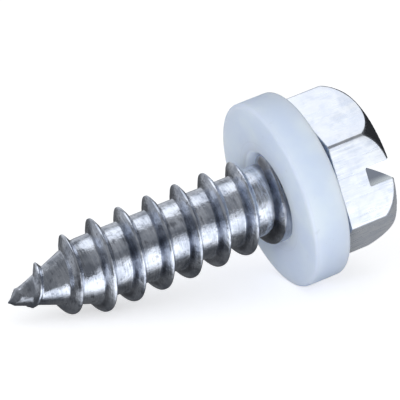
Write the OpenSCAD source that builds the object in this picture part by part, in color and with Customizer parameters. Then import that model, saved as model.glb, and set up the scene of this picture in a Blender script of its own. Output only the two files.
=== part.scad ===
// Slotted hex head sheet metal screw with a captive nylon washer.
// The screw is drawn standing along Z, with the plane that bears on the washer at 0,
// the head above it and the point below it, and is then laid down on its washer and thread.

/* [Head] */
// Width across the flats of the hexagon
head_flats = 7.65; // [6.5:0.05:9]
// Width across the rounded corners of the hexagon
head_corners = 8.74; // [7.6:0.01:9.6]
// Height from the bearing plane to the crown of the top
head_height = 3.5; // [3:0.05:4.5]
// Height of the round bearing collar under the hexagon
collar_height = 0.3; // [0.2:0.05:0.8]
// Diameter of the bearing collar
collar_d = 7.2; // [5.6:0.1:7.4]
// Radius of the slight crown of the top
crown_r = 32; // [15:1:60]
// Radius of the rounded shoulder between the top and the flats
shoulder_r = 2.4; // [2:0.05:2.8]
// Height of the shoulder's centre above the bearing plane
shoulder_centre_height = 1.55; // [1.2:0.05:1.7]
// Distance of the shoulder's centre from the screw's axis
shoulder_centre_r = 2.1; // [1.8:0.05:2.4]

/* [Slot] */
// Width of the driving slot
slot_width = 1; // [0.6:0.05:1.4]
// Depth of the slot below the crown
slot_depth = 1.6; // [1:0.05:2]

/* [Shank] */
// Length from the bearing plane to the tip of the point
shank_length = 16.8; // [12:0.1:25]
// Diameter of the plain neck that carries the washer
neck_d = 4.35; // [4:0.01:4.4]
// Length of the plain neck below the bearing plane
neck_length = 1.5; // [1:0.05:1.9]
// Length of the step from the neck down to the root
neck_step = 0.25; // [0.1:0.05:0.6]

/* [Thread] */
// Hand of the thread
thread_hand = -1; // [-1:Left, 1:Right]
// Major diameter of the thread
thread_d = 4.75; // [4.6:0.01:4.9]
// Root diameter of the thread
root_d = 3.45; // [3.2:0.05:3.6]
// Axial pitch of the thread
pitch = 1.6; // [1.2:0.05:2]
// Width of the flat on the crest
crest_width = 0.1; // [0.05:0.01:0.2]
// Included angle between the two flanks
flank_angle = 60; // [45:1:70]
// Distance from the washer's front to the place where the full crest ends
last_crest_gap = 0.05; // [0.05:0.05:0.5]
// Direction round the axis, from the slot, at which the full crest ends
last_crest_angle = 334.25; // [0:0.25:360]

/* [Point] */
// Included angle of the point
point_angle = 40; // [35:1:60]
// Radius left at the blunt tip
tip_r = 0.2; // [0.05:0.05:0.3]
// Length from the tip over which the crest rises to the major diameter
run_in_length = 5.4; // [3:0.1:8]
// Extra length by which the first turns of the thread are drawn out towards the tip
point_stretch = 0.45; // [0:0.05:0.6]
// Number of turns that are drawn out
stretch_turns = 2; // [1:0.5:3]

/* [Washer] */
// Outer diameter of the washer
washer_d = 9.9; // [9.4:0.1:13]
// Thickness of the washer
washer_thickness = 2; // [1.2:0.1:3]
// Radius on the outer edges of the washer
washer_edge_r = 0.2; // [0.1:0.05:0.4]
// Clearance all round between the neck and the washer's bore
bore_clearance = 0.08; // [0.05:0.01:0.12]
// Clearance all round between the thread's crest and the mouth of the bore
mouth_clearance = 0.05; // [0.03:0.01:0.2]
// Depth of the cone that widens the bore to its mouth
mouth_depth = 0.35; // [0.3:0.05:0.6]
// Slack along the axis between the collar and the washer
washer_slack = 0.05; // [0.02:0.01:0.1]

/* [Rest] */
// Direction round the axis, from the slot, that faces the table
roll = 99.1; // [0:0.1:360]

/* [Hidden] */

steel = "lightsteelblue";
nylon = "aliceblue";
round_sides = 96;

// Faces of the thread: steps round one turn, and how far hidden ends are sunk in
turn_steps = 36;
sink = 0.05;

neck_r = neck_d / 2;
root_r = root_d / 2;
crest_r = thread_d / 2;
washer_r = washer_d / 2;
bore_r = neck_r + bore_clearance;
mouth_r = crest_r + mouth_clearance;
mouth_slope = (mouth_r - bore_r) / mouth_depth;
collar_r = collar_d / 2;
crown_centre_height = head_height - crown_r;
slot_floor = head_height - slot_depth;

washer_front = -washer_slack - washer_thickness;

// The full crest ends in front of the washer and runs down to the neck's size inside the
// mouth of the bore. It is carried on until it lies inside the neck.
last_crest = washer_front - last_crest_gap;
run_out_length = last_crest_gap + mouth_depth - crest_width / 2;
buried_crest_r = neck_r - sink;
first_crest = -shank_length + pitch / 2;
last_crest_turn = (last_crest - first_crest - point_stretch) / pitch;
turn_count = ceil((pitch - neck_length - last_crest) / pitch * turn_steps + last_crest_turn * turn_steps);

// Radius of the core under the thread at a height along the axis
function core_radius(z) = min(root_r, tip_r + (z + shank_length) * tan(point_angle / 2));

// Radius of the crest at a height: it rises from the point and runs out into the neck
function crest_radius(z) =
    z > last_crest + run_out_length ? buried_crest_r
    : z > last_crest ? crest_r + (buried_crest_r - crest_r) * (z - last_crest) / run_out_length
    : z > run_in_length - shank_length ? crest_r
    : max(core_radius(z) + sink, crest_r * sin(90 * (z + shank_length) / run_in_length));

// Height and direction of the crest after a number of steps along the helix
function drawn_out(turn) = point_stretch * (1 - pow(max(0, 1 - turn / stretch_turns), 2));
function crest_height(step) = first_crest + pitch * step / turn_steps + drawn_out(step / turn_steps);
function crest_angle(step) = last_crest_angle + thread_hand * 360 * (step / turn_steps - last_crest_turn);

function helix_point(step, offset, r) = [
    r * cos(crest_angle(step)),
    r * sin(crest_angle(step)),
    crest_height(step) + offset
];

// Distance from the crest's middle to the foot of each flank
function flank_reach(step) =
    let (z = crest_height(step))
    min(pitch * 0.49, crest_width / 2 + (crest_radius(z) - core_radius(z)) * tan(flank_angle / 2));

function core_point(step, offset) = helix_point(step, offset, core_radius(crest_height(step) + offset));
function crest_point(step, offset) = helix_point(step, offset, crest_radius(crest_height(step)));

// One pitch of the thread's section at a step: valley, flank foot, crest flat, flank foot
function section_points(step) = [
    core_point(step, -pitch / 2),
    core_point(step, -flank_reach(step)),
    crest_point(step, -crest_width / 2),
    crest_point(step, crest_width / 2),
    core_point(step, flank_reach(step))
];
section_size = len(section_points(0));

thread_points = [
    for (step = [0 : turn_count]) each section_points(step),
    for (step = [turn_count + 1 : turn_count + turn_steps]) core_point(step, -pitch / 2),
    [0, 0, -shank_length],
    [0, 0, crest_height(turn_count)]
];
tip_index = len(thread_points) - 2;
top_index = len(thread_points) - 1;

// Index of a point: the sixth of a section is the first of the section one turn on
function point_index(step, k) =
    k == section_size ? point_index(step + turn_steps, 0)
    : step <= turn_count ? step * section_size + k
    : (turn_count + 1) * section_size + step - turn_count - 1;

function facing(face) = thread_hand > 0 ? face : [face[0], face[2], face[1]];

thread_faces = [
    for (step = [0 : turn_count - 1], k = [0 : section_size - 1]) each [
        facing([point_index(step, k), point_index(step, k + 1), point_index(step + 1, k + 1)]),
        facing([point_index(step, k), point_index(step + 1, k + 1), point_index(step + 1, k)])
    ],
    for (step = [0 : turn_steps - 1])
        facing([tip_index, point_index(step, 0), point_index(step + 1, 0)]),
    for (k = [0 : section_size - 1])
        facing([tip_index, point_index(0, k + 1), point_index(0, k)]),
    for (step = [turn_count : turn_count + turn_steps - 1])
        facing([top_index, point_index(step + 1, 0), point_index(step, 0)]),
    for (k = [0 : section_size - 1])
        facing([top_index, point_index(turn_count, k), point_index(turn_count, k + 1)])
];

// Resting pose. Heights of a point above the table, before the whole is set down on it,
// with the axis tilted so that the point end is lower.
function height_when_tilted(r, z, tilt) = z * sin(tilt) - r * cos(tilt);

// How far a thread point reaches towards the table
function reach_down(p) = p[0] * cos(roll) + p[1] * sin(roll);

function washer_height(tilt) =
    height_when_tilted(washer_r - washer_edge_r, washer_front + washer_edge_r, tilt) - washer_edge_r;
function thread_height(tilt) =
    min([for (p = thread_points) height_when_tilted(reach_down(p), p[2], tilt)]);

// Tilt at which washer and thread touch the table together, by halving
function resting_tilt(low, high, rounds) =
    let (middle = (low + high) / 2)
    rounds == 0 ? middle
    : thread_height(middle) > washer_height(middle) ? resting_tilt(middle, high, rounds - 1)
    : resting_tilt(low, middle, rounds - 1);

tilt = resting_tilt(0, 45, 24);
table_height = washer_height(tilt);

// Radius and height of the edge where the crown meets the shoulder: the crossing of their arcs
centre_rise = shoulder_centre_height - crown_centre_height;
centre_distance = norm([shoulder_centre_r, centre_rise]);
crown_share = (pow(crown_r, 2) - pow(shoulder_r, 2) + pow(centre_distance, 2)) / (2 * centre_distance);
crown_turn = atan2(shoulder_centre_r, centre_rise) + acos(crown_share / crown_r);
crown_edge_r = crown_r * sin(crown_turn);
crown_edge_height = crown_centre_height + crown_r * cos(crown_turn);

// Ends of the lying part along the table, and the shift that centres it
head_end = crown_edge_height * cos(tilt) + crown_edge_r * sin(tilt);
tip_end = min([for (p = thread_points) p[2] * cos(tilt) + reach_down(p) * sin(tilt)]);
centring = -(head_end + tip_end) / 2;

module rounded_ring_section(inner_r, outer_r, bottom, top, edge_r) {
    translate([inner_r, bottom]) square([outer_r - edge_r - inner_r, top - bottom]);
    translate([inner_r, bottom + edge_r]) square([outer_r - inner_r, top - bottom - 2 * edge_r]);
    for (z = [bottom + edge_r, top - edge_r])
        translate([outer_r - edge_r, z]) circle(r = edge_r, $fn = round_sides);
}

module lie_down() {
    translate([centring, 0, -table_height])
        rotate([0, 90 - tilt, 0])
            rotate([0, 0, -roll])
                children();
}

module hexagon() {
    intersection() {
        translate([0, 0, collar_height])
            rotate([0, 0, 30])
                cylinder(r = head_flats / 2 / cos(30), h = head_height - collar_height, $fn = 6);
        translate([0, 0, collar_height])
            cylinder(d = head_corners, h = head_height - collar_height, $fn = round_sides);
        translate([0, 0, crown_centre_height]) sphere(r = crown_r, $fn = round_sides);
        shoulder();
    }
}

module shoulder() {
    rotate_extrude($fn = round_sides) {
        square([shoulder_centre_r, shoulder_centre_height + shoulder_r]);
        square([shoulder_centre_r + shoulder_r, shoulder_centre_height]);
        translate([shoulder_centre_r, shoulder_centre_height])
            intersection() {
                circle(r = shoulder_r, $fn = round_sides);
                square([shoulder_r, shoulder_r]);
            }
    }
}

module screw() {
    color(steel)
        lie_down()
            difference() {
                union() {
                    hexagon();
                    cylinder(r = collar_r, h = collar_height + sink, $fn = round_sides);
                    translate([0, 0, -neck_length]) cylinder(r = neck_r, h = neck_length + sink, $fn = round_sides);
                    translate([0, 0, -neck_length - neck_step])
                        cylinder(r1 = root_r - sink, r2 = neck_r, h = neck_step, $fn = round_sides);
                    polyhedron(points = thread_points, faces = thread_faces, convexity = 10);
                }
                translate([-head_corners / 2, -slot_width / 2, slot_floor])
                    cube([head_corners, slot_width, slot_depth + sink]);
            }
}

module washer() {
    color(nylon)
        lie_down()
            difference() {
                rotate_extrude($fn = round_sides)
                    rounded_ring_section(0, washer_r, washer_front, -washer_slack, washer_edge_r);
                translate([0, 0, washer_front - sink])
                    cylinder(r = bore_r, h = washer_thickness + 2 * sink, $fn = round_sides);
                translate([0, 0, washer_front - sink])
                    cylinder(r1 = mouth_r + sink * mouth_slope, r2 = bore_r, h = mouth_depth + sink,
                             $fn = round_sides);
            }
}

screw();
washer();
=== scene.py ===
import math
import bpy
import bmesh
import numpy as np
from mathutils import Matrix, Vector, noise


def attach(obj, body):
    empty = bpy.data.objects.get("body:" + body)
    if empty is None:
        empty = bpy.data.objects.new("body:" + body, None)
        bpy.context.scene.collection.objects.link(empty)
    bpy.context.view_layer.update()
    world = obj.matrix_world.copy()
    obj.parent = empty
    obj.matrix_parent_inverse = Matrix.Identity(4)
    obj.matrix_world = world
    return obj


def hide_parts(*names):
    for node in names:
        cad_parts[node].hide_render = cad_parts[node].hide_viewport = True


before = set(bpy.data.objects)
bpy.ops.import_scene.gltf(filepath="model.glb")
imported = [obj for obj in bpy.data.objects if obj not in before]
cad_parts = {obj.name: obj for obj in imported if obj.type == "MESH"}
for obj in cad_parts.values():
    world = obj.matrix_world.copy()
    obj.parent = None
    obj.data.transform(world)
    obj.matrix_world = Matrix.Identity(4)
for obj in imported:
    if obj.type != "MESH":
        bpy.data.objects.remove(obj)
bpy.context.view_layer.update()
MM = 0.001

# Sizes of the part in millimetres, in the screw's own frame: Z along the axis, 0 at the bearing plane,
# and X along the slot
FLATS_R, CORNER_ROUND, HEAD_H = 3.825, 0.22, 3.5
COLLAR_R, COLLAR_H = 3.6, 0.3
CROWN_R, SHOULDER_R, SHOULDER_Z, SHOULDER_C = 32.0, 2.4, 1.55, 2.1
SLOT_W, SLOT_FLOOR = 1.0, 1.9
LENGTH, NECK_R, NECK_L, NECK_STEP = 16.8, 2.175, 1.5, 0.25
CREST_R, ROOT_R, PITCH, CREST_W, FLANK = 2.375, 1.725, 1.6, 0.1, math.tan(math.radians(30))
HAND, LAST_Z, LAST_ANGLE, RUN_OUT = -1, -2.10, 334.25, 0.35
POINT_TAN, TIP_R, RUN_IN = math.tan(math.radians(20)), 0.2, 5.4
STRETCH, STRETCH_TURNS = 0.45, 2.0
WASHER_R, WASHER_FRONT, WASHER_BACK, WASHER_EDGE = 4.95, -2.05, -0.05, 0.2
BORE_R, MOUTH_R, MOUTH_DEPTH = 2.255, 2.425, 0.35
TILT, ROLL, CENTRING, TABLE = 14.2468, 99.1, 6.08985, -5.2592

# Small forms that only the visual model has, in millimetres
NECK_FILLET, COLLAR_EDGE, HEAD_EDGE, SHOULDER_BLEND = 0.12, 0.06, 0.05, 0.04
SLOT_FILLET, SLOT_CHAMFER = 0.08, 0.05
ROOT_FILLET, POINT_FILLET, CREST_FILLET, CREST_CROWN = 0.10, 0.12, 0.03, 5
CORE_FULLER, FULLER_FROM, FULLER_OVER = 0.08, -3.45, 0.95
LAST_CREST_W, LAST_CREST_GAP, WIDE_FROM, WIDE_OVER = 0.42, 0.03, -2.95, 0.35
BORE_EDGE, DARK_RING_R = 0.08, 2.95

# Fineness of the meshes
TURN_STEPS, WASHER_STEPS = 120, 240
CREST_STEPS = [0.0, 0.05, 0.11, 0.18, 0.30, 0.45, 0.60, 0.75, 0.87, 0.96, 1.04, 1.13, 1.26, 1.45]
FOOT_LIMIT, STRIP_LIMIT, STEP_APART = 0.40, 0.485, 1.0005  # the first two in pitches
POINT_STEPS = [0.08, 0.18, 0.3, 0.44, 0.58, 0.72, 0.86]
DOME_STEPS = (0.04, 0.09, 0.15, 0.22, 0.3, 0.4, 0.52, 0.66, 0.85, 1.1, 1.4, 1.8, 2.3, 2.9)
EDGE_TURNS = np.radians([30, 60, 90])

PLACE = (Matrix.Translation((CENTRING * MM, 0, -TABLE * MM))
         @ Matrix.Rotation(math.radians(90 - TILT), 4, "Y")
         @ Matrix.Rotation(math.radians(-ROLL), 4, "Z")
         @ Matrix.Scale(MM, 4))


def linked(name, data):
    ob = bpy.data.objects.new(name, data)
    bpy.context.scene.collection.objects.link(ob)
    return ob


def mesh_object(name, verts, faces):
    me = bpy.data.meshes.new(name)
    me.from_pydata([tuple(map(float, v)) for v in verts], [], faces)
    me.validate()
    bm = bmesh.new()
    bm.from_mesh(me)
    bmesh.ops.remove_doubles(bm, verts=bm.verts, dist=1e-5)
    bmesh.ops.recalc_face_normals(bm, faces=bm.faces)
    bm.to_mesh(me)
    bm.free()
    return linked(name, me)


def boolean(ob, other, operation):
    m = ob.modifiers.new("cut", "BOOLEAN")
    m.operation, m.solver, m.object = operation, "EXACT", other
    dg = bpy.context.evaluated_depsgraph_get()
    me = bpy.data.meshes.new_from_object(ob.evaluated_get(dg), depsgraph=dg)
    ob.modifiers.clear()
    old = ob.data
    ob.data = me
    bpy.data.meshes.remove(old)
    bpy.data.objects.remove(other)


def soft_max(a, b, k):
    h = np.clip(0.5 + 0.5 * (a - b) / k, 0, 1)
    return b + (a - b) * h + k * h * (1 - h)


def soft_min(a, b, k):
    return -soft_max(-a, -b, k)


def ease(t):
    t = min(1.0, max(0.0, float(t)))
    return t * t * (3 - 2 * t)


def curve(a, b, c, q):
    return a * (1 - q) ** 2 + b * 2 * q * (1 - q) + c * q * q


def lower_edge(r, z, e, turns):
    """A rounded edge from the face at z, which looks along -Z, to the side at r."""
    return [(r - e + e * math.sin(t), z + e - e * math.cos(t)) for t in turns]


# Thread: a helical strip, one pitch wide, with a rounded crest and filleted root
def core_radius(z):
    cone = TIP_R + (z + LENGTH) * POINT_TAN
    fuller = CORE_FULLER * np.clip((z - FULLER_FROM) / FULLER_OVER, 0, 1)
    return soft_min(np.minimum(cone, ROOT_R + 1), ROOT_R + fuller, POINT_FILLET)


def crest_radius(z):
    rising = CREST_R * np.sin(np.radians(90 * np.clip((z + LENGTH) / RUN_IN, 0, 1)))
    low = NECK_R - 0.05
    falling = CREST_R + (low - CREST_R) * np.clip((z - LAST_Z) / RUN_OUT, 0, 1)
    return np.minimum(np.maximum(rising, core_radius(z) + 0.05), falling)


def crest_row(zc):
    """Height and radius of each point across the crest whose middle is at zc."""
    rc, r0 = float(crest_radius(zc)), float(core_radius(zc))
    foot = min(PITCH * FOOT_LIMIT, CREST_W / 2 + (rc - r0) * FLANK)
    # near the washer the crest is wide and reaches the mouth of the bore
    room = WASHER_FRONT - LAST_CREST_GAP - CREST_W / 2 - zc
    wide = max(0.0, min(LAST_CREST_W, room)) * ease((zc - WIDE_FROM) / WIDE_OVER)
    us = [-foot * q for q in reversed(CREST_STEPS[1:])] + [foot * q for q in CREST_STEPS]
    us = [u for u in us if abs(u) < PITCH * STRIP_LIMIT]
    while len(us) < 2 * len(CREST_STEPS) - 1:
        us = [us[0] * STEP_APART] + us if len(us) % 2 else us + [us[-1] * STEP_APART]
    row = []
    for u in sorted(us):
        z = zc + u
        out = max(0.0, abs(u) - CREST_W / 2) if u < 0 else max(0.0, u - CREST_W / 2 - wide)
        if wide and u > 0:
            flank = rc - out * (MOUTH_R - BORE_R) / MOUTH_DEPTH
        else:
            flank = float(soft_min(rc - out / FLANK, rc - CREST_CROWN * u * u, CREST_FILLET))
        row.append((z, float(soft_max(flank, core_radius(z), ROOT_FILLET))))
    return row


def thread():
    n = TURN_STEPS
    first = -LENGTH + PITCH / 2
    last_turn = (LAST_Z - first - STRETCH) / PITCH
    count = int(math.ceil(((PITCH - NECK_L - LAST_Z) / PITCH + last_turn) * n))
    turn = np.arange(count + 1) / n
    zc = first + PITCH * turn + STRETCH * (1 - np.maximum(0, 1 - turn / STRETCH_TURNS) ** 2)
    angle = np.radians(LAST_ANGLE + HAND * 360 * (turn - last_turn))
    later = np.arange(count + 1, count + n + 1) / n
    z_later = first + PITCH * later + STRETCH
    a_later = np.radians(LAST_ANGLE + HAND * 360 * (later - last_turn))
    verts = []

    def point(z, r, a):
        verts.append((r * math.cos(a), r * math.sin(a), z))
        return len(verts) - 1

    def root_point(z, a):
        return point(z - PITCH / 2, float(core_radius(z - PITCH / 2)), a)

    rows = [[root_point(z, a)] + [point(*p, a) for p in crest_row(z)] for z, a in zip(zc, angle)]
    tail = [root_point(z, a) for z, a in zip(z_later, a_later)]
    k = len(rows[0])

    def at(s, i):
        if i == k:
            return at(s + n, 0)
        return rows[s][i] if s <= count else tail[s - count - 1]

    faces = [[at(s, i), at(s, i + 1), at(s + 1, i + 1), at(s + 1, i)] for s in range(count) for i in range(k)]
    tip = point(-LENGTH, 0, 0)

    def spoke(target):
        x, y, z = verts[target]
        out, a = [tip], math.atan2(y, x)
        for q in POINT_STEPS:
            zq = -LENGTH + q * (z + LENGTH)
            out.append(point(zq, min(float(core_radius(zq)), math.hypot(x, y)), a))
        return out + [target]

    rim = [at(s, 0) for s in range(n)] + [at(0, k - i) for i in range(k)]
    spokes = [spoke(t) for t in rim]
    for j, low in enumerate(spokes):
        high = spokes[(j + 1) % len(spokes)]
        faces.append([tip, low[1], high[1]])
        for q in range(1, len(low) - 1):
            faces.append([low[q], low[q + 1], high[q + 1], high[q]])
    top = point(zc[count], 0, 0)
    faces += [[top, at(s + 1, 0), at(s, 0)] for s in range(count, count + n)]
    faces += [[top, at(count, i), at(count, i + 1)] for i in range(k)]
    return mesh_object("thread_part", verts, faces)


# Head, collar and neck: a closed loft of half-plane profiles round the axis
def hexagon_outline():
    pts = []
    reach = (FLATS_R - CORNER_ROUND) * math.tan(math.radians(30))
    centre = (FLATS_R - CORNER_ROUND) / math.cos(math.radians(30))
    for k in range(6):
        base = math.radians(60 * k)
        for t in np.linspace(-reach, reach, 25):
            pts.append((FLATS_R * math.cos(base) - t * math.sin(base),
                        FLATS_R * math.sin(base) + t * math.cos(base)))
        mid = base + math.radians(30)
        for a in np.radians(np.linspace(-30, 30, 9)[1:-1]):
            pts.append((centre * math.cos(mid) + CORNER_ROUND * math.cos(mid + a),
                        centre * math.sin(mid) + CORNER_ROUND * math.sin(mid + a)))
    return pts


def top_height(r):
    crown = HEAD_H - CROWN_R + math.sqrt(CROWN_R ** 2 - r * r)
    shoulder = SHOULDER_Z + math.sqrt(max(0.0, SHOULDER_R ** 2 - max(0.0, r - SHOULDER_C) ** 2))
    return float(soft_min(crown, shoulder, SHOULDER_BLEND))


def head_profile(edge):
    """From the neck's end to near the top's middle, where the hexagon's outline is at radius edge."""
    f, b = NECK_FILLET, HEAD_EDGE
    prof = [(ROOT_R - 0.05, -NECK_L - NECK_STEP), (NECK_R, -NECK_L), (NECK_R, -0.9), (NECK_R, -f)]
    prof += [(NECK_R + f * (1 - math.cos(t)), -f + f * math.sin(t)) for t in EDGE_TURNS]
    prof += [(COLLAR_R - COLLAR_EDGE, 0.0)] + lower_edge(COLLAR_R, 0.0, COLLAR_EDGE, EDGE_TURNS)
    prof += [(COLLAR_R, COLLAR_H), (edge - b, COLLAR_H)] + lower_edge(edge, COLLAR_H, b, EDGE_TURNS)
    high, inner = top_height(edge), edge - b * 0.9
    prof += [(edge, COLLAR_H + b + (high - b * 0.9 - COLLAR_H - b) * q) for q in (0.25, 0.5, 0.75, 1)]
    low, end = high - b * 0.9, top_height(inner)
    prof += [(curve(edge, edge, inner, q), curve(low, high, end, q)) for q in (0.25, 0.5, 0.75)]
    prof.append((inner, end))
    for q in DOME_STEPS:
        r = inner - q * (inner - 0.5) / DOME_STEPS[-1]
        prof.append((r, top_height(r)))
    return prof


def head():
    rows = []
    for x, y in hexagon_outline():
        a = math.atan2(y, x)
        rows.append([(r * math.cos(a), r * math.sin(a), z) for r, z in head_profile(math.hypot(x, y))])
    k, n = len(rows[0]), len(rows)
    verts = [v for row in rows for v in row]
    bottom, top = len(verts), len(verts) + 1
    verts += [(0, 0, -NECK_L - NECK_STEP), (0, 0, HEAD_H)]
    ring = [(s * k, (s + 1) % n * k) for s in range(n)]
    faces = [[s + i, t + i, t + i + 1, s + i + 1] for s, t in ring for i in range(k - 1)]
    for s, t in ring:
        faces += [[bottom, t, s], [top, s + k - 1, t + k - 1]]
    return mesh_object("head_part", verts, faces)


def slot_cutter():
    """A bar along X with a filleted floor, which widens over the dome to break its edges."""
    verts, faces = [], []
    w, f = SLOT_W / 2, SLOT_FILLET
    xs = np.linspace(-4.6, 4.6, 93)
    floor_edge = [(w - f + f * math.cos(t), SLOT_FLOOR + f - f * math.sin(t))
                  for t in np.radians([0, 30, 60, 90])]
    for x in xs:
        high = top_height(min(math.hypot(x, w), 4.4))
        right = [(w + 1.0, high + 1.0 - SLOT_CHAMFER), (w, high - SLOT_CHAMFER)] + floor_edge
        left = [(-y, z) for y, z in reversed(right)]
        verts += [(x, y, z) for y, z in right + left]
    k = len(right) * 2
    for s in range(len(xs) - 1):
        for i in range(k):
            j = (i + 1) % k
            faces.append([s * k + i, s * k + j, s * k + k + j, s * k + k + i])
    faces.append(list(range(k)))
    faces.append([(len(xs) - 1) * k + i for i in reversed(range(k))])
    return mesh_object("slot_part", verts, faces)


def pinch_tip(ob):
    """The point is pinched off low and at a slant, a little fuller on its upper side, and rough."""
    start, upper_side = -15.2, math.radians(270)
    for v in ob.data.vertices:
        x, y, z = v.co
        if z < start:
            upper = 0.5 + 0.5 * math.cos(math.atan2(y, x) - upper_side)
            far = z + LENGTH
            slant = upper * (0.10 + 0.90 * ease(far / 0.50)) + (1 - upper) * (0.45 + 0.55 * ease(far / 0.30))
            swell = 0.26 * upper ** 2 * math.exp(-((far - 0.52) / 0.17) ** 2)
            rough = 0.14 * noise.noise(Vector((x, y, z)) * 4) * min(1, (start - z) / 0.8)
            scale = slant * (1 + swell + rough)
            v.co.x, v.co.y = x * scale, y * scale


def finish_mesh(ob, sharp_degrees):
    """Keeps the own coordinates for the materials, puts the mesh in the frame and shades it smooth."""
    me = ob.data
    co = np.zeros(len(me.vertices) * 3, np.float32)
    me.vertices.foreach_get("co", co)
    own = me.attributes.new("own", "FLOAT_VECTOR", "POINT")
    own.data.foreach_set("vector", co)
    me.transform(PLACE)
    me.update()
    me.polygons.foreach_set("use_smooth", [True] * len(me.polygons))
    me.set_sharp_from_angle(angle=math.radians(sharp_degrees))
    me.update()


def build_screw():
    ob = head()
    boolean(ob, slot_cutter(), "DIFFERENCE")
    boolean(ob, thread(), "UNION")
    pinch_tip(ob)
    ob.name = ob.data.name = "screw_visual"
    finish_mesh(ob, 32)
    return ob


def build_washer():
    e, b, n = WASHER_EDGE, BORE_EDGE, WASHER_STEPS
    turns = np.radians(np.linspace(0, 90, 7))
    prof = [(MOUTH_R + 0.05, WASHER_FRONT), (MOUTH_R + 0.1, WASHER_FRONT)]
    prof += [(r, WASHER_FRONT) for r in np.linspace(BORE_R + 0.4, WASHER_R - e - 0.1, 9)]
    prof += lower_edge(WASHER_R, WASHER_FRONT, e, turns)
    prof += [(WASHER_R, z) for z in np.linspace(WASHER_FRONT + e + 0.2, WASHER_BACK - e - 0.2, 5)]
    prof += [(WASHER_R - e + e * math.cos(t), WASHER_BACK - e + e * math.sin(t)) for t in turns]
    prof += [(r, WASHER_BACK) for r in np.linspace(WASHER_R - e - 0.1, BORE_R + 0.4, 9)]
    prof += [(BORE_R + b - b * math.sin(t), WASHER_BACK - b + b * math.cos(t)) for t in turns]
    prof += [(BORE_R, z) for z in np.linspace(WASHER_BACK - b - 0.2, WASHER_FRONT + MOUTH_DEPTH, 5)]
    prof += [(BORE_R + (MOUTH_R - BORE_R) * t, WASHER_FRONT + MOUTH_DEPTH * (1 - t))
             for t in (0.3, 0.6, 0.88)]
    prof += [(MOUTH_R + 0.015, WASHER_FRONT + 0.012)]
    k = len(prof)
    verts = [(r * math.cos(a), r * math.sin(a), z)
             for a in np.linspace(0, 2 * math.pi, n, endpoint=False) for r, z in prof]
    faces = [[s * k + i, s * k + (i + 1) % k, (s + 1) % n * k + (i + 1) % k, (s + 1) % n * k + i]
             for s in range(n) for i in range(k)]
    ob = mesh_object("washer_visual", verts, faces)
    finish_mesh(ob, 40)
    return ob


class Nodes:
    """Short names for the nodes that the materials use. A value is a number, a colour or a socket."""

    def __init__(self, tree):
        self.t = tree
        tree.nodes.clear()

    def add(self, kind, **inputs):
        n = self.t.nodes.new(kind)
        for key, value in inputs.items():
            if key.startswith("p_"):
                setattr(n, key[2:], value)
            else:
                self.set(n, key.replace("_", " "), value)
        return n

    def set(self, n, key, value):
        socket = n.inputs[int(key)] if key.isdigit() else n.inputs[key]
        if hasattr(value, "is_output"):
            self.t.links.new(value, socket)
        else:
            socket.default_value = value

    def surface(self, shader, kind="Material"):
        self.add("ShaderNodeOutput" + kind, Surface=shader.outputs[0])

    def math(self, op, *values):
        """With more than two values, the same step joins each in turn."""
        total = values[0]
        for value in values[1:] or (0.0,):
            n = self.t.nodes.new("ShaderNodeMath")
            n.operation = op
            self.set(n, "0", total)
            self.set(n, "1", value)
            total = n.outputs[0]
        return total

    def times(self, *values):
        return self.math("MULTIPLY", *values)

    def plus(self, *values):
        return self.math("ADD", *values)

    def most(self, *values):
        return self.math("MAXIMUM", *values)

    def size(self, value):
        return self.math("ABSOLUTE", value)

    def blend(self, *pairs):
        """The sum of each value times its weight."""
        return self.plus(*[self.times(value, weight) for value, weight in pairs])

    def vec(self, op, a, b=(0, 0, 0), out="Vector"):
        n = self.t.nodes.new("ShaderNodeVectorMath")
        n.operation = op
        self.set(n, "0", a)
        self.set(n, "1", b)
        return n.outputs[out]

    def map_range(self, v, lo, hi, a=0.0, b=1.0):
        n = self.t.nodes.new("ShaderNodeMapRange")
        n.interpolation_type = "SMOOTHSTEP"
        for key, value in zip(("Value", "From Min", "From Max", "To Min", "To Max"), (v, lo, hi, a, b)):
            self.set(n, key, value)
        return n.outputs["Result"]

    def noise(self, vector, scale, detail=3.0, rough=0.5, distort=0.0):
        n = self.t.nodes.new("ShaderNodeTexNoise")
        self.set(n, "Vector", vector)
        for key, value in (("Scale", scale), ("Detail", detail), ("Roughness", rough),
                           ("Distortion", distort)):
            self.set(n, key, value)
        return n.outputs["Fac"]

    def pick(self, fac, a, b):
        n = self.t.nodes.new("ShaderNodeMix")
        n.data_type = "FLOAT"
        for key, value in (("0", fac), ("2", a), ("3", b)):
            self.set(n, key, value)
        return n.outputs[0]

    def mix_color(self, fac, a, b):
        n = self.t.nodes.new("ShaderNodeMix")
        n.data_type = "RGBA"
        for key, value in (("0", fac), ("6", a), ("7", b)):
            self.set(n, key, value)
        return n.outputs[2]

    def own_place(self):
        """The own coordinates in millimetres: as a vector, and as x, y, z and the distance from the axis."""
        own = self.add("ShaderNodeAttribute", p_attribute_name="own").outputs["Vector"]
        x, y, z = self.add("ShaderNodeSeparateXYZ", Vector=own).outputs
        return own, x, y, z, self.math("SQRT", self.plus(self.times(x, x), self.times(y, y)))


def new_material(name):
    m = bpy.data.materials.new(name)
    m.use_nodes = True
    return m, Nodes(m.node_tree)


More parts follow.
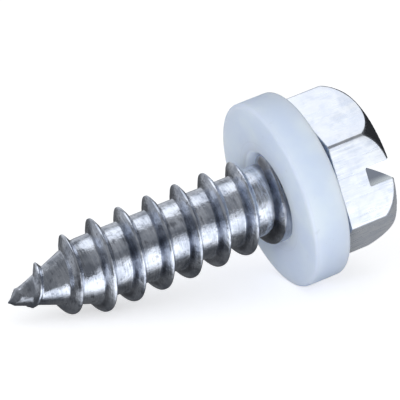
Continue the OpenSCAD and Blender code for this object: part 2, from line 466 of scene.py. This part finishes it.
def steel_material():
    shank_dark, shank_bright = (0.41, 0.445, 0.52, 1), (0.74, 0.775, 0.85, 1)
    spot, dull, dirt_and_painted_shade = (0.14, 0.15, 0.18, 1), (0.26, 0.27, 0.31, 1), (0.13, 0.135, 0.16, 1)
    head_dark, head_bright, blush = (0.60, 0.64, 0.72, 1), (0.80, 0.82, 0.85, 1), (0.74, 0.77, 0.85, 1)
    slot_painted_shade, slot_painted_light, collar_painted_shade = (0.125, 0.165, 0.25, 1), (0.90, 0.97, 1.0, 1), (0.20, 0.21, 0.24, 1)
    m, N = new_material("bright_steel")
    own, x, y, z, radius = N.own_place()
    side = N.math("DIVIDE", y, radius)
    flats = [N.size(N.vec("DOT_PRODUCT", own, (math.cos(a), math.sin(a), 0), out="Value"))
             for a in np.radians([0, 60, 120]).tolist()]
    across = N.most(*flats)

    # where a point is: on the head, on its dome, in the slot or on the collar
    on_head = N.math("GREATER_THAN", z, 0.02)
    on_dome = N.times(N.map_range(across, 3.80, 3.72), N.math("GREATER_THAN", z, 2.0))
    in_slot = N.times(N.math("LESS_THAN", N.size(y), SLOT_W / 2 + 0.015), N.math("LESS_THAN", across, 3.818),
                      N.math("GREATER_THAN", z, SLOT_FLOOR - 0.05))
    collar = N.times(N.math("LESS_THAN", z, COLLAR_H + 0.02), N.math("LESS_THAN", radius, COLLAR_R + 0.02))

    # drawn streaks along the axis and soft mottling on the head
    streaks = N.noise(N.vec("MULTIPLY", own, (3.4, 3.4, 0.30)), 1.9, 5.0, 0.62, 0.15)
    fine = N.noise(N.vec("MULTIPLY", own, (20.0, 20.0, 0.7)), 1.6, 2.0, 0.6)
    mottle = N.noise(own, 1.5, 4.0, 0.6, 0.4)
    blushes = N.noise(own, 0.55, 2.0, 0.5)
    # rolling marks round the shank, with worn patches, dents and pits
    angle = N.math("ARCTAN2", y, x)
    ring_at = N.add("ShaderNodeCombineXYZ", X=N.times(angle, 1.1), Y=N.times(z, 8.0), Z=N.times(radius, 8.0))
    rings = N.noise(ring_at.outputs[0], 1.5, 4.0, 0.65)
    patches = N.noise(own, 1.1, 3.0, 0.55)
    dents = N.noise(own, 2.6, 4.0, 0.6)
    pits = N.noise(own, 7.0, 3.0, 0.65)
    wear = N.blend((rings, 0.3), (patches, 0.7))

    # relief and roughness
    shank_h = N.blend((rings, 0.17), (dents, 0.85), (pits, 0.10))
    head_h = N.pick(on_dome, N.blend((streaks, 0.26), (fine, 0.03)), N.times(patches, 0.35))
    height = N.pick(in_slot, N.pick(on_head, shank_h, head_h), 0.5)
    bump = N.add("ShaderNodeBump", Strength=1.0, Distance=0.000032, Height=height)
    head_rough = N.pick(on_dome, N.map_range(streaks, 0.3, 0.7, 0.26, 0.36), 0.21)
    rough = N.pick(on_head, N.map_range(wear, 0.36, 0.64, 0.15, 0.26), head_rough)

    # the shank's colour: worn bright, with scattered dark spots and a dull tip
    spots = N.map_range(N.blend((dents, 0.72), (rings, 0.28)), 0.48, 0.31)
    shank_c = N.mix_color(N.map_range(wear, 0.36, 0.62), shank_dark, shank_bright)
    shank_c = N.mix_color(N.times(spots, 0.66), shank_c, spot)
    shank_c = N.mix_color(N.times(N.map_range(z, -15.3, -16.3), 0.45), shank_c, dull)
    # darkening in the thread's roots, part dirt and part painted shade, most on the lower side where it
    # rests; painted shade beside the last crest and next to the washer
    root = N.times(N.map_range(radius, 1.76, 1.86), N.map_range(radius, 2.15, 1.92),
                   N.map_range(patches, 0.35, 0.6, 0.80, 0.40), N.map_range(side, -0.7, 0.1, 0.15, 1.0))
    beside = N.plus(z, N.times(side, 0.27))
    last = N.times(N.map_range(beside, -2.80, -2.58), N.map_range(radius, 2.42, 1.95))
    band = N.times(N.map_range(beside, -2.34, -2.20), N.map_range(radius, 2.20, 2.32),
                   N.map_range(side, -0.1, 0.8, 1.0, 0.5))
    dirt_and_shade_mask = N.most(root, N.times(N.most(last, band), N.map_range(patches, 0.3, 0.6, 0.95, 0.8)))
    # darkens the shank with dirt and painted shade
    shank_c = N.mix_color(dirt_and_shade_mask, shank_c, dirt_and_painted_shade)

    # the head's colour, with painted shade deep in the slot's walls fading to painted light at the slot's
    # open ends, and painted shade on the collar
    drawn = N.blend((streaks, 0.5), (mottle, 0.5))
    marks = N.pick(on_dome, N.map_range(drawn, 0.38, 0.60), N.map_range(patches, 0.3, 0.7))
    head_c = N.mix_color(marks, head_dark, head_bright)
    head_c = N.mix_color(N.map_range(blushes, 0.4, 0.65, 0.0, 0.5), head_c, blush)
    # painted shade deep in the slot, painted light towards its open ends
    head_c = N.mix_color(in_slot, head_c, N.mix_color(N.map_range(N.size(x), 2.25, 3.8), slot_painted_shade, slot_painted_light))
    # painted shade on the collar, in the gap under the head
    head_c = N.mix_color(collar, head_c, collar_painted_shade)
    N.surface(N.add("ShaderNodeBsdfPrincipled", Base_Color=N.mix_color(on_head, shank_c, head_c),
                    Metallic=1.0, Roughness=rough, Normal=bump.outputs[0]))
    return m


def nylon_material():
    milky, clear, speck = (0.66, 0.75, 0.97, 1), (0.73, 0.82, 1.0, 1), (0.50, 0.58, 0.72, 1)
    ring_c, edge_painted_shade, painted_glow_c = (0.40, 0.46, 0.58, 1), (0.30, 0.38, 0.52, 1), (0.62, 0.70, 0.84, 1)
    m, N = new_material("white_nylon")
    own, x, y, z, radius = N.own_place()
    cloud = N.noise(own, 0.35, 3.0, 0.5)
    grain = N.noise(own, 6.0, 3.0, 0.6)
    specks = N.map_range(N.noise(own, 1.6, 2.0, 0.5), 0.68, 0.76)
    base = N.mix_color(N.map_range(cloud, 0.35, 0.65), milky, clear)
    base = N.mix_color(N.times(specks, 0.25), base, speck)
    # faint darker ring round the hole
    ring = N.map_range(N.size(N.math("SUBTRACT", radius, DARK_RING_R)), 0.06, 0.0)
    base = N.mix_color(N.times(ring, 0.10), base, ring_c)
    # painted shade: the front's rounded edge is a little darker
    edge = N.times(N.map_range(radius, 4.70, 4.85), N.map_range(z, WASHER_FRONT + 0.24, WASHER_FRONT + 0.10))
    base = N.mix_color(N.times(edge, 0.16), base, edge_painted_shade)
    bump = N.add("ShaderNodeBump", Strength=0.25, Distance=0.00002, Height=grain)
    bsdf = N.add("ShaderNodeBsdfPrincipled", Base_Color=base, Normal=bump.outputs[0], IOR=1.5,
                 Roughness=N.map_range(grain, 0.3, 0.7, 0.48, 0.60), Subsurface_Weight=0.8,
                 Subsurface_Radius=(1.0, 1.0, 1.1), Subsurface_Scale=0.0018, Emission_Color=painted_glow_c)
    # painted light: the thin mouth of the bore glows, standing in for light through the nylon and lifting the
    # shade inside it
    mouth = N.times(N.map_range(radius, 2.52, 2.38), N.map_range(z, -1.2, -1.75))
    N.set(bsdf, "Emission Strength", N.times(mouth, 0.24))
    N.surface(bsdf)
    return m


def seen_white(N):
    """1 for the rays that show the white background: camera, glossy and transmission."""
    path = N.add("ShaderNodeLightPath")
    return N.most(*[path.outputs[kind + " Ray"] for kind in ("Is Camera", "Is Glossy", "Is Transmission")])


def floor_material():
    m, N = new_material("pale_floor")
    diffuse = N.add("ShaderNodeBsdfDiffuse", Color=(0.86, 0.86, 0.87, 1))
    glow = N.add("ShaderNodeEmission", Color=(1, 1, 1, 1), Strength=N.times(seen_white(N), 0.55))
    both = N.add("ShaderNodeAddShader")
    N.set(both, "0", diffuse.outputs[0])
    N.set(both, "1", glow.outputs[0])
    N.surface(both)
    return m


# The studio: the middle that its lights face, and the colour that the metal shows of it
MIDDLE = (0, 0, 0.004)
STUDIO_COLOR = (0.94, 0.965, 1.0, 1)
# Light areas on the tent: azimuth, elevation, inner and outer half angle in degrees, strength.
# In order: reflector overhead, low reflector in front, soft side and back, a dark flag, faint front top
TENT_AREAS = ((76, 68, 15, 32, 1.18), (-68, -2, 11, 27, 0.92), (125, 2, 15, 50, 0.32),
              (76, 16, 8, 28, 0.42), (16, 24, 34, 50, -0.24), (-79, 55, 6, 30, 0.12))
TENT_BASE, TENT_LEAST, CARD_BASE = 0.23, 0.03, 0.12


def direction(az, el):
    a, e = math.radians(az), math.radians(el)
    return (math.cos(a) * math.cos(e), math.sin(a) * math.cos(e), math.sin(e))


def tent_material():
    """Reflectors and a flag round the object, seen only in its metal."""
    m, N = new_material("tent")
    place = N.add("ShaderNodeNewGeometry").outputs["Position"]
    way = N.vec("NORMALIZE", N.vec("SUBTRACT", place, MIDDLE))
    total = TENT_BASE
    for az, el, inner, outer, strength in TENT_AREAS:
        near = N.vec("DOT_PRODUCT", way, direction(az, el), out="Value")
        edge, full = math.cos(math.radians(outer)), math.cos(math.radians(inner))
        total = N.plus(N.map_range(near, edge, full, 0.0, strength), total)
    N.surface(N.add("ShaderNodeEmission", Color=STUDIO_COLOR, Strength=N.most(total, TENT_LEAST)))
    return m


def painted_ground_reflection_material():
    """A painted reflection of the ground for the metal: painted light in front, painted shade under and
    behind the screw.

    How far ahead a point lies is measured in heights of the screw's axis above it."""
    m, N = new_material("painted_ground_reflection")
    place = N.add("ShaderNodeNewGeometry").outputs["Position"]
    x, y, z = N.add("ShaderNodeSeparateXYZ", Vector=place).outputs
    rise = math.tan(math.radians(TILT))
    axis_z = N.most(N.plus(N.times(x, rise), -(TABLE + CENTRING * rise) * MM), 0.0012)
    ahead = N.math("DIVIDE", N.math("SUBTRACT", -0.0004, y), axis_z)
    close = N.map_range(y, 0.009, 0.015, 1.0, 0.0)
    # painted light of the ground in front; painted shade under the screw where only the base strength is left
    front = N.times(N.map_range(ahead, 0.42, 1.35, 0.0, 1.50), N.map_range(x, -0.0115, -0.009))
    behind = N.times(N.map_range(ahead, -1.6, -4.0, 0.0, 0.16), close)
    beside = N.times(N.map_range(x, 0.0075, 0.0105, 0.0, 0.26), close)
    left = N.map_range(x, -0.010, -0.022, 0.0, 0.14)
    far = N.times(N.map_range(y, 0.02, 0.06, 0.0, 0.30), N.map_range(x, 0.02, 0.0))
    strength = N.plus(front, far, behind, beside, left, CARD_BASE)
    N.surface(N.add("ShaderNodeEmission", Color=STUDIO_COLOR, Strength=strength))
    return m


screw = build_screw()
washer = build_washer()
screw.data.materials.append(steel_material())
washer.data.materials.append(nylon_material())
for piece, node, body, slot in ((screw, "screw", "screw_body", "steel"),
                                (washer, "washer", "washer_body", "nylon")):
    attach(piece, body)
    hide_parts(node)


def plane(name, size, z, material):
    me = bpy.data.meshes.new(name)
    s = size / 2
    me.from_pydata([(-s, -s, z), (s, -s, z), (s, s, z), (-s, s, z)], [], [(0, 1, 2, 3)])
    ob = linked(name, me)
    me.materials.append(material)
    return ob


def only_in_reflections(ob):
    ob.visible_camera = ob.visible_diffuse = ob.visible_shadow = False
    ob.visible_transmission = ob.visible_volume_scatter = False


plane("floor", 3.0, 0.0, floor_material())
# a sheet seen only in reflections, with the ground's painted light and shade
card = plane("painted_ground_reflection", 0.24, 0.00002, painted_ground_reflection_material())
only_in_reflections(card)

tent_mesh = bpy.data.meshes.new("tent")
bm = bmesh.new()
bmesh.ops.create_uvsphere(bm, u_segments=48, v_segments=32, radius=0.12)
bm.to_mesh(tent_mesh)
bm.free()
tent = linked("tent", tent_mesh)
tent_mesh.materials.append(tent_material())
only_in_reflections(tent)

# World: white where the camera looks past the floor, soft studio light on the object
world = bpy.data.worlds.new("studio")
bpy.context.scene.world = world
world.use_nodes = True
N = Nodes(world.node_tree)
soft = N.add("ShaderNodeBackground", Color=(0.95, 0.97, 1.0, 1), Strength=0.55)
white = N.add("ShaderNodeBackground", Color=(1, 1, 1, 1), Strength=1.0)
mix = N.add("ShaderNodeMixShader")
for key, value in (("0", seen_white(N)), ("1", soft.outputs[0]), ("2", white.outputs[0])):
    N.set(mix, key, value)
N.surface(mix, "World")


def area(name, az, el, distance, size, energy):
    light = bpy.data.lights.new(name, "AREA")
    light.shape, light.size, light.energy = "DISK", size, energy
    ob = linked(name, light)
    d = Vector(direction(az, el))
    ob.location = d * distance + Vector(MIDDLE)
    ob.rotation_euler = d.to_track_quat("Z", "Y").to_euler()
    ob.visible_glossy = False


area("overhead", 60, 75, 0.5, 0.35, 0.03)
area("left_fill", -146, 2, 0.5, 0.30, 2.02)
area("front_fill", -72, 0, 0.5, 0.35, 0.80)

# Camera, from the fit to the photo
CAMERA_AT = (-0.08057944, -0.17412180, 0.06382305)
CAMERA_RIGHT, CAMERA_AHEAD = (0.907003931, -0.421122132, 0.000137613), (0.40271716, 0.86726804, -0.29268589)
cam = bpy.data.cameras.new("camera")
cam.sensor_width, cam.lens, cam.sensor_fit = 36.0, 360.0, "HORIZONTAL"
cam.clip_start, cam.clip_end = 0.005, 20.0
camera = linked("camera", cam)
right = Vector(CAMERA_RIGHT).normalized()
back = -Vector(CAMERA_AHEAD).normalized()
up = back.cross(right).normalized()
camera.matrix_world = Matrix.Translation(CAMERA_AT) @ Matrix((right, up, back)).transposed().to_4x4()
bpy.context.scene.camera = camera
bpy.context.scene.view_settings.view_transform = "Standard"

bpy.context.view_layer.update()
